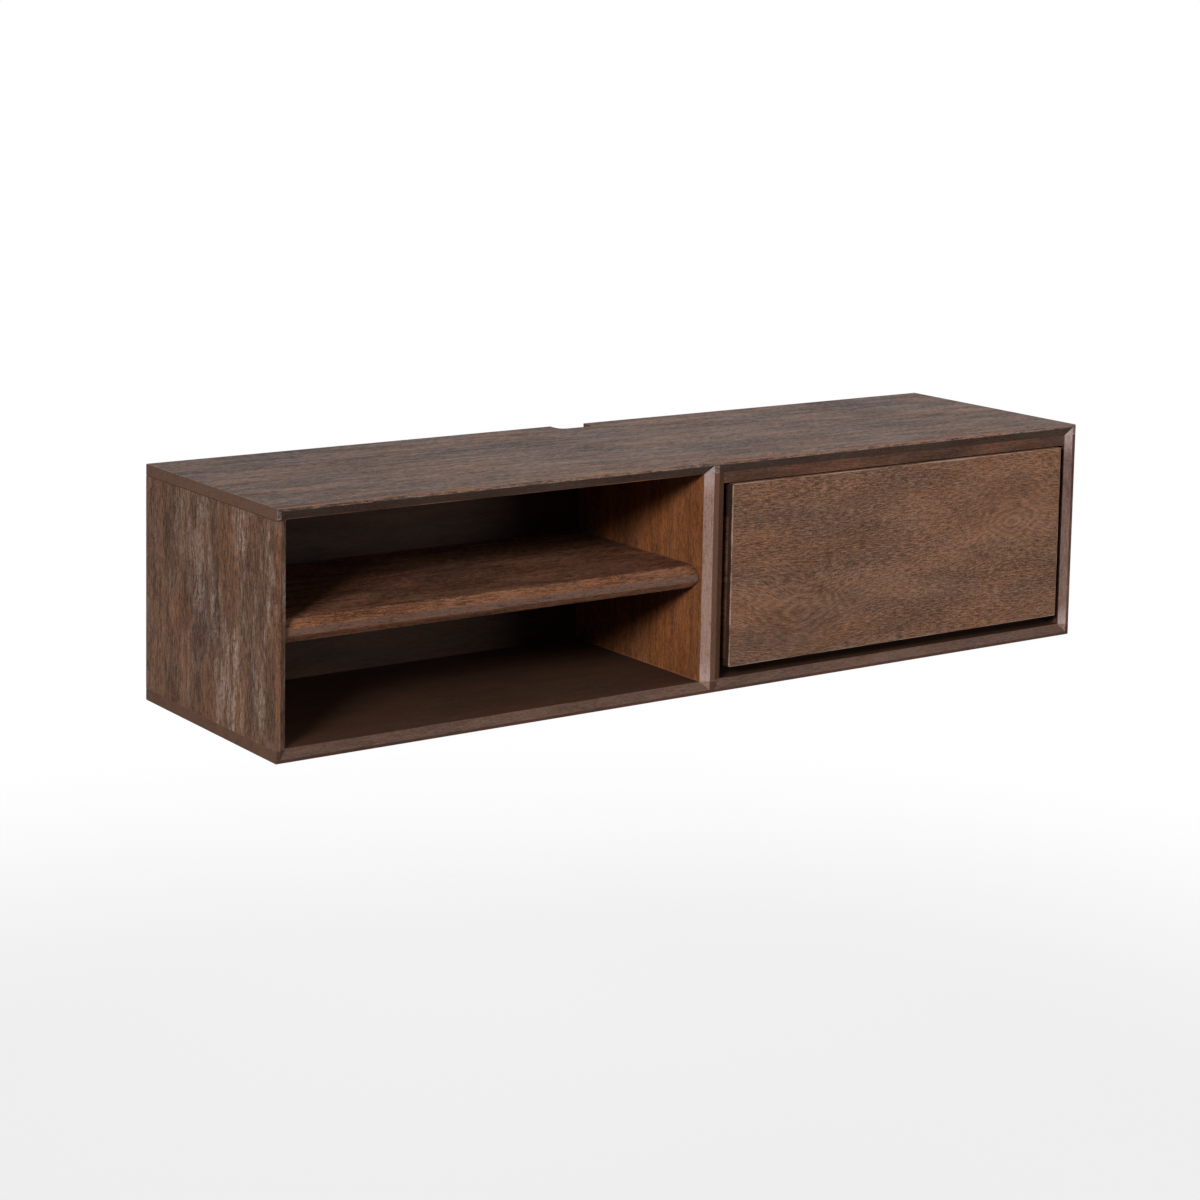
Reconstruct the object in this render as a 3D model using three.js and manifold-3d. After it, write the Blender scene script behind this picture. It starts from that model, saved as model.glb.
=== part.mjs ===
// A wall-hung media console in stained solid wood: on the left an open bay with one thick
// shelf, on the right a drawer without a handle, behind a mitred and bevelled front frame.
// Millimetres, +Z up, the front looks towards -Y, and the wall is the plane Y = 0.
// The origin is the middle of the wall cleat's rear face.

import * as THREE from 'three';
import { mergeVertices } from 'three/addons/utils/BufferGeometryUtils.js';
import { ConvexGeometry } from 'three/addons/geometries/ConvexGeometry.js';
import Module from 'manifold-3d';

// Carcass
const consoleWidth = 1500;
const consoleDepth = 400;
const consoleHeight = 355;
const boardThick = 18;
const dividerThick = 38;
const arrisEase = 1.5;

// Bevelled front frame: flat lips, and a bevel that runs back into each bay
const bevelDepth = 7.5;
const flatLip = 5;
const uprightLip = 7;
const dividerLip = 9.5;

// Back panel in grooves, with cable outlets, and the cable room between it and the wall
const backThick = 6;
const grooveDepth = 6;
const cableRoom = 57;
const outletRadius = 28;
const outletInset = 100;
const notchWidth = 66;
const notchDepth = 31;
const notchCorner = 15;

// Hanging rails on the console, the cleat on the wall and the lower rear rail
const railThick = 18;
const railHeight = 60;
const railWallGap = 2;
const railCentreGap = 130;
const cleatHeight = 60;
const cleatEndGap = 40;
const hookGap = 0.3;
const lowerRailHeight = 45;

// Dowels in the carcass joints and in the shelf ends
const dowelRadius = 4;
const dowelChamfer = 0.8;
const dowelInFace = 12;
const dowelInEnd = 20;
const dowelAlongShares = { front: 0.2, rear: 0.7 };

// Shelf
const shelfThick = 34;
const shelfLip = 11;
const shelfNose = 13.5;
const shelfSetback = 14;
const shelfNoseEase = 1.5;
const shelfEndGap = 0.5;

// Rail under the top, above the drawer
const bayRailHeight = 17;
const bayRailDepth = 50;

// Drawer
const frontThick = 18;
const frontSetback = 1;
const frontEase = 2;
const fingerGap = 17;
const frontTopGap = 1.5;
const lapDepth = 9;
const boxWall = 12;
const boxHeight = 220;
const boxRise = 12;
const boxBottomThick = 6;
const boxBottomRise = 10;
const boxTail = 2;
const boxRearGap = 6;

// Telescopic ball-bearing runners
const runnerThick = 12.7;
const runnerHeight = 45.7;
const runnerSetback = 10;
const runnerGauge = 1.2;
const bendRadius = 1;
const ballRadius = 1.5;
const raceClear = 0.32;
const raceLip = 0.8;
const cageGauge = 0.6;
const webClear = 0.4;
const cageLength = 120;
const ballInset = 8;
const ballsPerRow = 6;
const bufferLength = 8;
const bufferThick = 8;
const leverLength = 72;
const leverThick = 2;
const leverStem = 6;
const leverPaddle = 15;
const leverPaddleLength = 16;
const leverEase = 2;
const fixingRadius = 2.3;
const fixingInset = 35;
const fixingsPerMember = 3;
const windowLength = 34;
const windowHeight = 11;
const windowsPerMember = 2;

// Clearances, and the overrun that takes every cut past the face it opens
const looseFit = 0.3;
const overrun = 2;

// Facets of round shapes
const easeFacets = 3;
const arrisFacets = 2;
const notchFacets = 6;
const dowelSides = 12;
const outletSides = 32;
const fixingSides = 12;
const ballSides = 8;
const ballBands = 6;

// Places worked out from the sizes above; x from the middle, y from the wall, z from the base
const halfWidth = consoleWidth / 2;
const frontY = -consoleDepth;
const sideInnerX = halfWidth - boardThick;
const dividerFaceX = dividerThick / 2;
const floorZ = boardThick;
const ceilingZ = consoleHeight - boardThick;
const backRearY = -cableRoom;
const backFrontY = backRearY - backThick;
const shelfMidZ = (floorZ + ceilingZ) / 2;
const shelfLowZ = shelfMidZ - shelfThick / 2;
const shelfTopZ = shelfMidZ + shelfThick / 2;

const hookLowZ = ceilingZ - railHeight;
const cleatRearTopZ = hookLowZ - railWallGap - hookGap * Math.SQRT2;
const cleatLowZ = cleatRearTopZ + railThick - cleatHeight;
const originZ = (cleatRearTopZ + cleatLowZ) / 2;

const frontFaceY = frontY + frontSetback;
const frontRearY = frontFaceY + frontThick;
const frontLowZ = floorZ + fingerGap;
const frontTopZ = ceilingZ - bayRailHeight - frontTopGap;
const boxLeftX = dividerFaceX + runnerThick;
const boxRightX = sideInnerX - runnerThick;
const boxLowZ = frontLowZ + boxRise;
const boxTopZ = boxLowZ + boxHeight;
const boxRearY = backFrontY - boxRearGap;
const boxPanelZ = boxLowZ + boxBottomRise + looseFit;

const runnerFrontY = frontRearY + runnerSetback;
const runnerLength = boxRearY - boxTail - runnerFrontY;
const runnerMidZ = boxLowZ + boxHeight / 2;
const memberLength = runnerLength - bufferLength - looseFit;
const cageFrontY = runnerFrontY + (memberLength - cageLength) / 2;

// Finishes
const finish = (color, roughness, metalness = 0) =>
  new THREE.MeshStandardMaterial({ color, roughness, metalness });
const topWood = finish(0x6e625a, 0.5);
const frameWood = finish(0x8a6650, 0.5);
const innerWood = finish(0x6d4a36, 0.55);
const panelWood = finish(0x6f5546, 0.48);
const plainWood = finish(0xa98763, 0.65);
const zincSteel = finish(0xb4b7ba, 0.35, 1);
const blackPlastic = finish(0x1d1d1e, 0.6);

// Solids for the boolean cuts
const wasm = await Module();
wasm.setup();

function toSolid(geometry) {
  const bare = geometry.clone();
  bare.deleteAttribute('normal');
  bare.deleteAttribute('uv');
  const merged = mergeVertices(bare);
  return new wasm.Manifold(new wasm.Mesh({
    numProp: 3,
    vertProperties: new Float32Array(merged.attributes.position.array),
    triVerts: new Uint32Array(merged.index.array),
  }));
}

function toGeometry(solid) {
  const mesh = solid.getMesh();
  const geometry = new THREE.BufferGeometry();
  geometry.setAttribute('position', new THREE.BufferAttribute(new Float32Array(mesh.vertProperties), 3));
  geometry.setIndex(new THREE.BufferAttribute(new Uint32Array(mesh.triVerts), 1));
  return geometry;
}

function cut(geometry, cutters) {
  return toGeometry(cutters.reduce((solid, cutter) => solid.subtract(toSolid(cutter)), toSolid(geometry)));
}

function join(geometry, others) {
  return toGeometry(others.reduce((solid, other) => solid.add(toSolid(other)), toSolid(geometry)));
}

// A plain block between two corners
function block(x0, x1, y0, y1, z0, z1) {
  const geometry = new THREE.BoxGeometry(x1 - x0, y1 - y0, z1 - z0);
  return geometry.translate((x0 + x1) / 2, (y0 + y1) / 2, (z0 + z1) / 2);
}

// A closed outline through corners [x, y, ease]; an eased corner is rounded by its ease
function outline(corners) {
  const shape = new THREE.Shape();
  const point = (i) => new THREE.Vector2(...corners[(i + corners.length) % corners.length].slice(0, 2));
  corners.forEach(([, , ease = 0], i) => {
    const corner = point(i);
    const before = point(i - 1).sub(corner).setLength(ease).add(corner);
    const after = point(i + 1).sub(corner).setLength(ease).add(corner);
    if (i === 0) shape.moveTo(before.x, before.y);
    else shape.lineTo(before.x, before.y);
    if (ease > 0) shape.quadraticCurveTo(corner.x, corner.y, after.x, after.y);
  });
  shape.closePath();
  return shape;
}

const extrusion = (shape, depth, curveSegments = easeFacets) =>
  new THREE.ExtrudeGeometry(shape, { depth, curveSegments, bevelEnabled: false });

// A section drawn as [y, z], run along X from x0 to x1
function alongX(corners, x0, x1) {
  const geometry = extrusion(outline(corners), x1 - x0);
  geometry.applyMatrix4(new THREE.Matrix4().makeBasis(
    new THREE.Vector3(0, 1, 0), new THREE.Vector3(0, 0, 1), new THREE.Vector3(1, 0, 0)));
  return geometry.translate(x0, 0, 0);
}

// A section drawn as [x, z], run along Y from y0 to y1
function alongY(corners, y0, y1) {
  return extrusion(outline(corners), y1 - y0).rotateX(Math.PI / 2).translate(0, y1, 0);
}

// A plan drawn as [x, y], run along Z from z0 to z1
function alongZ(corners, z0, z1, curveSegments) {
  return extrusion(outline(corners), z1 - z0, curveSegments).translate(0, 0, z0);
}

// A board whose outer arrises are all eased: plan by x and y, thickness by z
function easedBoard(x0, x1, y0, y1, z0, z1, ease) {
  const plan = outline([[x0, y0, ease], [x1, y0, ease], [x1, y1, ease], [x0, y1, ease]]);
  const geometry = new THREE.ExtrudeGeometry(plan, {
    depth: z1 - z0 - 2 * ease,
    bevelThickness: ease,
    bevelSize: ease,
    bevelOffset: -ease,
    bevelSegments: arrisFacets,
    curveSegments: arrisFacets,
  });
  return geometry.translate(0, 0, z0 + ease);
}

// The flared mouth of a bay, which bevels and mitres every board around it
function bayMouth(innerX0, innerX1, outerX0, outerX1) {
  const flare = (bevelDepth + overrun) / bevelDepth;
  const outward = (inner, outer) => inner + (outer - inner) * flare;
  const mouth = [];
  for (const [inner, outer] of [[innerX0, outerX0], [innerX1, outerX1]]) {
    for (const [innerZ, outerZ] of [[floorZ, flatLip], [ceilingZ, consoleHeight - flatLip]]) {
      mouth.push(new THREE.Vector3(inner, frontY + bevelDepth, innerZ));
      mouth.push(new THREE.Vector3(outward(inner, outer), frontY - overrun, outward(innerZ, outerZ)));
    }
  }
  return new ConvexGeometry(mouth);
}

const openBayMouth = bayMouth(-sideInnerX, -dividerFaceX, -halfWidth + uprightLip, -dividerLip / 2);
const drawerBayMouth = bayMouth(dividerFaceX, sideInnerX, dividerLip / 2, halfWidth - uprightLip);
const mouths = [openBayMouth, drawerBayMouth];

// The space that the back panel takes in the four boards around it
const backGroove = block(
  -sideInnerX - grooveDepth, sideInnerX + grooveDepth,
  backFrontY - looseFit, backRearY + looseFit,
  floorZ - grooveDepth, ceilingZ + grooveDepth);

// Dowels: each place says where the joint face is and which way the dowel runs into the end grain
const dowelLength = dowelInFace + dowelInEnd;

function dowelPlaces() {
  const places = [];
  const uprightX = { left: -halfWidth + boardThick / 2, divider: 0, right: halfWidth - boardThick / 2 };
  for (const [row, share] of Object.entries(dowelAlongShares)) {
    const y = frontY + consoleDepth * share;
    for (const [upright, x] of Object.entries(uprightX)) {
      places.push({ name: `dowel_${upright}_top_${row}`, face: [x, y, ceilingZ], run: [0, 0, -1] });
      places.push({ name: `dowel_${upright}_bottom_${row}`, face: [x, y, floorZ], run: [0, 0, 1] });
    }
    const shelfLeft = [-sideInnerX, y, shelfMidZ];
    const shelfRight = [-dividerFaceX, y, shelfMidZ];
    places.push({ name: `dowel_shelf_left_${row}`, face: shelfLeft, run: [1, 0, 0] });
    places.push({ name: `dowel_shelf_right_${row}`, face: shelfRight, run: [-1, 0, 0] });
  }
  return places;
}

// A round rod along a dowel's run, from faceDepth before the joint face to endDepth past it
function alongRun(place, geometry, faceDepth, endDepth) {
  const run = new THREE.Vector3(...place.run);
  const middle = new THREE.Vector3(...place.face).addScaledVector(run, (endDepth - faceDepth) / 2);
  geometry.applyQuaternion(new THREE.Quaternion().setFromUnitVectors(new THREE.Vector3(0, 1, 0), run));
  return geometry.translate(middle.x, middle.y, middle.z);
}

function dowel(place) {
  const half = dowelLength / 2;
  const profile = [
    [0, -half], [dowelRadius - dowelChamfer, -half], [dowelRadius, -half + dowelChamfer],
    [dowelRadius, half - dowelChamfer], [dowelRadius - dowelChamfer, half], [0, half],
  ].map(([r, h]) => new THREE.Vector2(r, h));
  return alongRun(place, new THREE.LatheGeometry(profile, dowelSides), dowelInFace, dowelInEnd);
}

function dowelBore(place) {
  const length = dowelLength + 2 * looseFit;
  const radius = dowelRadius + looseFit;
  const bore = new THREE.CylinderGeometry(radius, radius, length, dowelSides);
  return alongRun(place, bore, dowelInFace + looseFit, dowelInEnd + looseFit);
}

const places = dowelPlaces();
const boresOf = (...rows) =>
  places.filter(({ name }) => rows.some((row) => name.includes(row))).map(dowelBore);

// Carcass boards

function topBoard() {
  const slab = easedBoard(-halfWidth, halfWidth, frontY, 0, ceilingZ, consoleHeight, arrisEase);
  const halfNotch = notchWidth / 2;
  const notch = alongZ([
    [-halfNotch, -notchDepth, notchCorner], [halfNotch, -notchDepth, notchCorner],
    [halfNotch, overrun], [-halfNotch, overrun],
  ], ceilingZ - overrun, consoleHeight + overrun, notchFacets);
  return cut(slab, [...mouths, backGroove, notch, ...boresOf('_top_')]);
}

function bottomBoard() {
  const slab = easedBoard(-halfWidth, halfWidth, frontY, 0, 0, floorZ, arrisEase);
  return cut(slab, [...mouths, backGroove, ...boresOf('_bottom_')]);
}

// The side boards stand between the top and the bottom, flush with their ends
function sideBoard(hand, mouth, bores) {
  const inner = hand * sideInnerX;
  const outer = hand * halfWidth;
  const plan = [[inner, frontY], [outer, frontY, arrisEase], [outer, 0, arrisEase], [inner, 0]];
  return cut(alongZ(plan, floorZ, ceilingZ), [mouth, backGroove, ...bores]);
}

// The divider stops at the back panel, so that cables can pass behind it
function divider() {
  const board = block(-dividerFaceX, dividerFaceX, frontY, backFrontY - looseFit, floorZ, ceilingZ);
  return cut(board, [...mouths, ...boresOf('divider', 'shelf_right')]);
}

function outlet(z) {
  const length = backThick + 2 * overrun;
  const bore = new THREE.CylinderGeometry(outletRadius, outletRadius, length, outletSides);
  return bore.translate(-sideInnerX + outletInset, (backFrontY + backRearY) / 2, z);
}

function backPanel() {
  const reach = grooveDepth - looseFit;
  const sheet = block(
    -sideInnerX - reach, sideInnerX + reach, backFrontY, backRearY, floorZ - reach, ceilingZ + reach);
  return cut(sheet, [outlet((floorZ + shelfLowZ) / 2), outlet((shelfTopZ + ceilingZ) / 2)]);
}

// Hanging parts: a hooked edge that slopes at 45 degrees, lowest against the wall

function hangingRail(x0, x1) {
  const rearY = -railWallGap;
  const roomY = rearY - railThick;
  return alongX([
    [rearY, hookLowZ], [rearY, ceilingZ], [roomY, ceilingZ], [roomY, hookLowZ + railThick],
  ], x0, x1);
}

function wallCleat() {
  const end = sideInnerX - cleatEndGap;
  return alongX([
    [0, cleatLowZ], [0, cleatRearTopZ], [-railThick, cleatRearTopZ + railThick], [-railThick, cleatLowZ],
  ], -end, end);
}

const lowerRail = () => block(-sideInnerX, sideInnerX, -railThick, 0, floorZ, floorZ + lowerRailHeight);

// Shelf with a bevelled nose on both edges, set back behind the frame
function shelf() {
  const lipY = frontY + shelfSetback;
  const noseY = lipY + shelfNose;
  const section = [
    [noseY, shelfLowZ, shelfNoseEase], [lipY, shelfMidZ - shelfLip / 2, shelfNoseEase],
    [lipY, shelfMidZ + shelfLip / 2, shelfNoseEase], [noseY, shelfTopZ, shelfNoseEase],
    [backFrontY - looseFit, shelfTopZ], [backFrontY - looseFit, shelfLowZ],
  ];
  const plank = alongX(section, -sideInnerX + shelfEndGap, -dividerFaceX - shelfEndGap);
  return cut(plank, boresOf('dowel_shelf'));
}

function bayRail() {
  const y0 = frontY + bevelDepth;
  return block(dividerFaceX, sideInnerX, y0, y0 + bayRailDepth, ceilingZ - bayRailHeight, ceilingZ);
}

// Drawer

// The front is drawn lying on its rear face, and a quarter turn about X stands it up
function drawerFront() {
  const slab = easedBoard(
    boxLeftX, boxRightX, frontLowZ, frontTopZ, -frontRearY, -frontFaceY, frontEase);
  slab.rotateX(Math.PI / 2);
  const lapFrontY = frontRearY - lapDepth;
  const laps = [[boxLeftX - overrun, boxLeftX + boxWall], [boxRightX - boxWall, boxRightX + overrun]].map(
    ([x0, x1]) => block(x0, x1, lapFrontY, frontRearY + overrun, boxLowZ, boxTopZ));
  return cut(slab, [...laps, boxBottomGroove()]);
}

function boxBottomGroove() {
  return block(
    boxLeftX + boxWall - grooveDepth, boxRightX - boxWall + grooveDepth,
    frontRearY - grooveDepth, boxRearY + overrun,
    boxPanelZ - looseFit, boxPanelZ + boxBottomThick + looseFit);
}

function boxSide(outerX, innerX) {
  const board = block(
    Math.min(outerX, innerX), Math.max(outerX, innerX), frontRearY - lapDepth, boxRearY, boxLowZ, boxTopZ);
  return cut(board, [boxBottomGroove()]);
}

function boxBottom() {
  const reach = grooveDepth - looseFit;
  return block(
    boxLeftX + boxWall - reach, boxRightX - boxWall + reach,
    frontRearY - reach, boxRearY, boxPanelZ, boxPanelZ + boxBottomThick);
}

const boxBack = () => block(
  boxLeftX + boxWall, boxRightX - boxWall,
  boxRearY - boxWall, boxRearY,
  boxPanelZ + boxBottomThick, boxTopZ);

// Runners. A section is drawn as [u, v]: u from the fixed wall towards the drawer, v from the
// middle. The ball rows run between the flanges, and each cage's web runs between two webs.
const outerHalf = runnerHeight / 2;
const ballSpace = 2 * (ballRadius + raceClear);
const outerBallV = outerHalf - runnerGauge - ballSpace / 2;
const middleHalf = outerHalf - runnerGauge - ballSpace;
const innerBallV = middleHalf - runnerGauge - ballSpace / 2;
const innerHalf = middleHalf - runnerGauge - ballSpace;
const outerCageU = runnerGauge + webClear;
const middleU = outerCageU + cageGauge + webClear;
const innerCageU = middleU + runnerGauge + webClear;
const flangeEndU = runnerThick - runnerGauge - 2 * webClear;
const innerFlangeEndU = innerCageU + cageGauge + 2 * webClear;
const outerBallU = flangeEndU - runnerGauge - raceLip - ballRadius - raceClear;
const innerBallU = (innerFlangeEndU + raceLip + flangeEndU - runnerGauge) / 2;

// A rolled channel: its web at webU, its flanges out to endU, with lips on the flange ends
function channelSection(webU, endU, half, gauge, lipIn, lipOut, bend) {
  const way = Math.sign(endU - webU);
  const webInU = webU + way * gauge;
  const lipU = endU - way * gauge;
  const upper = [
    [webU, half, bend], [lipU, half], [lipU, half + lipOut], [endU, half + lipOut],
    [endU, half - gauge - lipIn], [lipU, half - gauge - lipIn], [lipU, half - gauge], [webInU, half - gauge],
  ];
  const distinct = upper.filter(([u, v], i) => i === 0 || u !== upper[i - 1][0] || v !== upper[i - 1][1]);
  const lower = distinct.map(([u, v, ease]) => [u, -v, ease]).reverse();
  return [...distinct, ...lower];
}

// A runner stands at its wall and faces the drawer: hand 1 at the divider, -1 at the right side
class Runner {
  constructor(wallX, hand) {
    this.wallX = wallX;
    this.hand = hand;
  }

  x(u) {
    return this.wallX + this.hand * u;
  }

  member(section, frontY0, length) {
    const corners = section.map(([u, v, ease]) => [this.x(u), runnerMidZ + v, ease]);
    return alongY(corners, frontY0, frontY0 + length);
  }

  // Evenly spaced places along a member, inset at both ends
  spaced(count, frontY0, length, inset) {
    return Array.from({ length: count }, (_, i) => frontY0 + inset + (length - 2 * inset) * i / (count - 1));
  }

  // Round screw holes through the web that lies between webU and webU + runnerGauge
  fixings(webU) {
    const length = runnerGauge + 2 * overrun;
    return this.spaced(fixingsPerMember, runnerFrontY, memberLength, fixingInset).map((y) =>
      new THREE.CylinderGeometry(fixingRadius, fixingRadius, length, fixingSides)
        .rotateZ(Math.PI / 2).translate(this.x(webU + runnerGauge / 2), y, runnerMidZ));
  }

  cabinetMember() {
    const section = channelSection(0, flangeEndU, outerHalf, runnerGauge, raceLip, 0, bendRadius);
    return cut(this.member(section, runnerFrontY, runnerLength), this.fixings(0));
  }

  middleMember() {
    const section = channelSection(
      middleU, flangeEndU, middleHalf, runnerGauge, raceLip, raceLip, bendRadius);
    return cut(this.member(section, runnerFrontY, memberLength), this.windows());
  }

  // Round-ended windows in the middle web, through which the fixed member's screws are reached
  windows() {
    const webX = this.x(middleU + runnerGauge / 2);
    const reach = runnerGauge / 2 + overrun;
    const halfHeight = windowHeight / 2;
    const inset = fixingInset + windowLength / 2;
    return this.spaced(windowsPerMember, runnerFrontY, memberLength, inset).map((y) => {
      const [y0, y1] = [y - windowLength / 2, y + windowLength / 2];
      const [z0, z1] = [runnerMidZ - halfHeight, runnerMidZ + halfHeight];
      return alongX([
        [y0, z0, halfHeight], [y1, z0, halfHeight], [y1, z1, halfHeight], [y0, z1, halfHeight],
      ], webX - reach, webX + reach);
    });
  }

  drawerMember() {
    const section = channelSection(
      runnerThick, innerFlangeEndU, innerHalf, runnerGauge, 0, raceLip, bendRadius);
    const webU = runnerThick - runnerGauge;
    return cut(this.member(section, runnerFrontY, memberLength), this.fixings(webU));
  }

  // A folded strip that carries two rows of balls
  cage(webU, ballU, ballV) {
    const half = ballV + cageGauge / 2;
    const section = channelSection(webU, ballU + ballRadius, half, cageGauge, 0, 0, 0);
    const balls = this.spaced(ballsPerRow, cageFrontY, cageLength, ballInset).flatMap((y) =>
      [-ballV, ballV].map((v) => new THREE.SphereGeometry(ballRadius, ballSides, ballBands)
        .translate(this.x(ballU), y, runnerMidZ + v)));
    return join(this.member(section, cageFrontY, cageLength), balls);
  }

  // A plastic lever in the drawer member's channel, which frees the drawer from the runner.
  // A thin stem joins its two ends, and lies between two of the member's screws.
  lever() {
    const rearFixing = memberLength - fixingInset;
    const middleY = runnerFrontY + (memberLength / 2 + rearFixing) / 2;
    const [y0, y1] = [middleY - leverLength / 2, middleY + leverLength / 2];
    const [stem, paddle] = [leverStem / 2, leverPaddle / 2];
    const neckY = y0 + leverPaddleLength;
    const heelY = y1 - leverPaddleLength / 2;
    const seatX = this.x(runnerThick - runnerGauge - looseFit);
    const faceX = this.x(runnerThick - runnerGauge - looseFit - leverThick);
    const side = [
      [y0, paddle, leverEase], [neckY, paddle, leverEase], [neckY + leverEase, stem, leverEase],
      [heelY - leverEase, stem, leverEase], [heelY, paddle, leverEase], [y1, paddle, leverEase],
    ];
    const profile = [...side, ...side.map(([y, v, ease]) => [y, -v, ease]).reverse()];
    return alongX(
      profile.map(([y, v, ease]) => [y, runnerMidZ + v, ease]),
      Math.min(seatX, faceX), Math.max(seatX, faceX));
  }

  buffer() {
    const y0 = runnerFrontY + runnerLength - bufferLength;
    const half = outerHalf - runnerGauge;
    return alongY([
      [this.x(runnerGauge), runnerMidZ - half], [this.x(bufferThick), runnerMidZ - half, bendRadius],
      [this.x(bufferThick), runnerMidZ + half, bendRadius], [this.x(runnerGauge), runnerMidZ + half],
    ], y0, y0 + bufferLength);
  }
}

// Scene graph: the carcass, and the drawer with its runners, measured from the base at the wall
const model = new THREE.Group();
model.position.z = -originZ;

function add(parent, name, geometry, material) {
  const mesh = new THREE.Mesh(geometry, material);
  mesh.name = name;
  parent.add(mesh);
  return mesh;
}

function addCarcass() {
  const carcass = new THREE.Group();
  add(carcass, 'top_board', topBoard(), topWood);
  add(carcass, 'bottom_board', bottomBoard(), frameWood);
  add(carcass, 'side_left', sideBoard(-1, openBayMouth, boresOf('dowel_left', 'shelf_left')), frameWood);
  add(carcass, 'side_right', sideBoard(1, drawerBayMouth, boresOf('dowel_right')), frameWood);
  add(carcass, 'divider', divider(), innerWood);
  add(carcass, 'back_panel', backPanel(), innerWood);
  add(carcass, 'shelf', shelf(), panelWood);
  add(carcass, 'drawer_bay_rail', bayRail(), frameWood);
  add(carcass, 'hanging_rail_left', hangingRail(-sideInnerX, -railCentreGap / 2), plainWood);
  add(carcass, 'hanging_rail_right', hangingRail(railCentreGap / 2, sideInnerX), plainWood);
  add(carcass, 'lower_rear_rail', lowerRail(), plainWood);
  add(carcass, 'wall_cleat', wallCleat(), plainWood);
  places.forEach((place) => add(carcass, place.name, dowel(place), plainWood));
  model.add(carcass);
}

function addDrawer() {
  const drawer = new THREE.Group();
  add(drawer, 'drawer_front', drawerFront(), panelWood);
  add(drawer, 'drawer_side_left', boxSide(boxLeftX, boxLeftX + boxWall), innerWood);
  add(drawer, 'drawer_side_right', boxSide(boxRightX, boxRightX - boxWall), innerWood);
  add(drawer, 'drawer_back', boxBack(), innerWood);
  add(drawer, 'drawer_bottom', boxBottom(), plainWood);
  model.add(drawer);
}

function addRunner(side, runner) {
  const group = new THREE.Group();
  add(group, `runner_${side}_cabinet_member`, runner.cabinetMember(), zincSteel);
  add(group, `runner_${side}_buffer`, runner.buffer(), blackPlastic);
  add(group, `runner_${side}_outer_cage`, runner.cage(outerCageU, outerBallU, outerBallV), zincSteel);
  add(group, `runner_${side}_middle_member`, runner.middleMember(), zincSteel);
  add(group, `runner_${side}_inner_cage`, runner.cage(innerCageU, innerBallU, innerBallV), zincSteel);
  add(group, `runner_${side}_drawer_member`, runner.drawerMember(), zincSteel);
  add(group, `runner_${side}_release_lever`, runner.lever(), blackPlastic);
  model.add(group);
}

addCarcass();
addDrawer();
addRunner('left', new Runner(dividerFaceX, 1));
addRunner('right', new Runner(sideInnerX, -1));

export default model;
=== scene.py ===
"""The looks of a wall-hung media console, built round its packed solids.

Metres, +Z up. The front looks towards -Y, and the wall is the plane Y = 0. Every board is
a softened copy of its solid, in stained or plain wood. The runners and dowels keep their own.
"""

import math
from typing import NamedTuple

import bmesh
import bpy
from mathutils import Matrix, Vector
from mathutils.bvhtree import BVHTree

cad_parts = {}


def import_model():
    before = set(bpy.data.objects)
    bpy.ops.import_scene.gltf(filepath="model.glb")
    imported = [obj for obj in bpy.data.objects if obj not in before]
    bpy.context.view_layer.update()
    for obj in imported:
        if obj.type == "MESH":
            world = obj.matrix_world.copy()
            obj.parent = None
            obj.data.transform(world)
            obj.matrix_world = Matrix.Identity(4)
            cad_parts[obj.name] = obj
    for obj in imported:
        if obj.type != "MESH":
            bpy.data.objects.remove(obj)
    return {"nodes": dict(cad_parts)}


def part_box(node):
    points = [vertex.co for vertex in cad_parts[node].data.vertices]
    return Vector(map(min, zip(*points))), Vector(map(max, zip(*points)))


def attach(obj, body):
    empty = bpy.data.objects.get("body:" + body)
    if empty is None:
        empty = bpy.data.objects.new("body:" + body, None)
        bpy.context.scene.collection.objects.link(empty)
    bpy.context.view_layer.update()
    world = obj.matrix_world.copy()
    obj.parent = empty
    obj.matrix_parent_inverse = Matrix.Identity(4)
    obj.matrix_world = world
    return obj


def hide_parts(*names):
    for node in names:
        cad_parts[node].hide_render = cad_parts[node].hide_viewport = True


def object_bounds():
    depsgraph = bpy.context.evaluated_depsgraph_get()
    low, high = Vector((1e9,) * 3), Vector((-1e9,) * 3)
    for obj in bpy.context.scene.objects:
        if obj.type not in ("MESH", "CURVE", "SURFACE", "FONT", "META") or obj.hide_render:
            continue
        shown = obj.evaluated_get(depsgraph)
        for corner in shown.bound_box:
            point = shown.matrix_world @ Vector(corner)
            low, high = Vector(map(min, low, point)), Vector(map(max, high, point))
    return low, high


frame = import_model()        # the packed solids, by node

bl_info = {
    "name": "Wall-hung media console",
    "version": (1, 0, 0),
    "blender": (4, 5, 0),
    "location": "3D View > Sidebar > Console",
    "description": "Dresses a wall-hung media console in wood, steel and plastic",
    "category": "Object",
}

cad_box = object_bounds()
CENTRE = (cad_box[0] + cad_box[1]) / 2
NODES = frame["nodes"]
MILLI = 0.001


def tint(red, green, blue):
    """A colour written as 0 to 255 on a screen, as the light that it sends back."""
    def linear(level):
        part = level / 255
        return part / 12.92 if part <= 0.04045 else ((part + 0.055) / 1.055) ** 2.4
    return tuple(linear(level) for level in (red, green, blue))


# Settings that a user would change

def colour(name, description, shade):
    """A colour setting, whose default is written as 0 to 255 on a screen."""
    return bpy.props.FloatVectorProperty(
        name=name, description=description, default=tint(*shade), size=3,
        subtype="COLOR", min=0.0, max=1.0)


def share(name, description, default, most=1.0):
    """A setting without a unit, from 0 to most."""
    return bpy.props.FloatProperty(
        name=name, description=description, default=default, min=0.0, max=most, subtype="FACTOR")


def length(name, description, default):
    """A length setting in metres."""
    return bpy.props.FloatProperty(
        name=name, description=description, default=default, min=0.0, unit="LENGTH")


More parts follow.
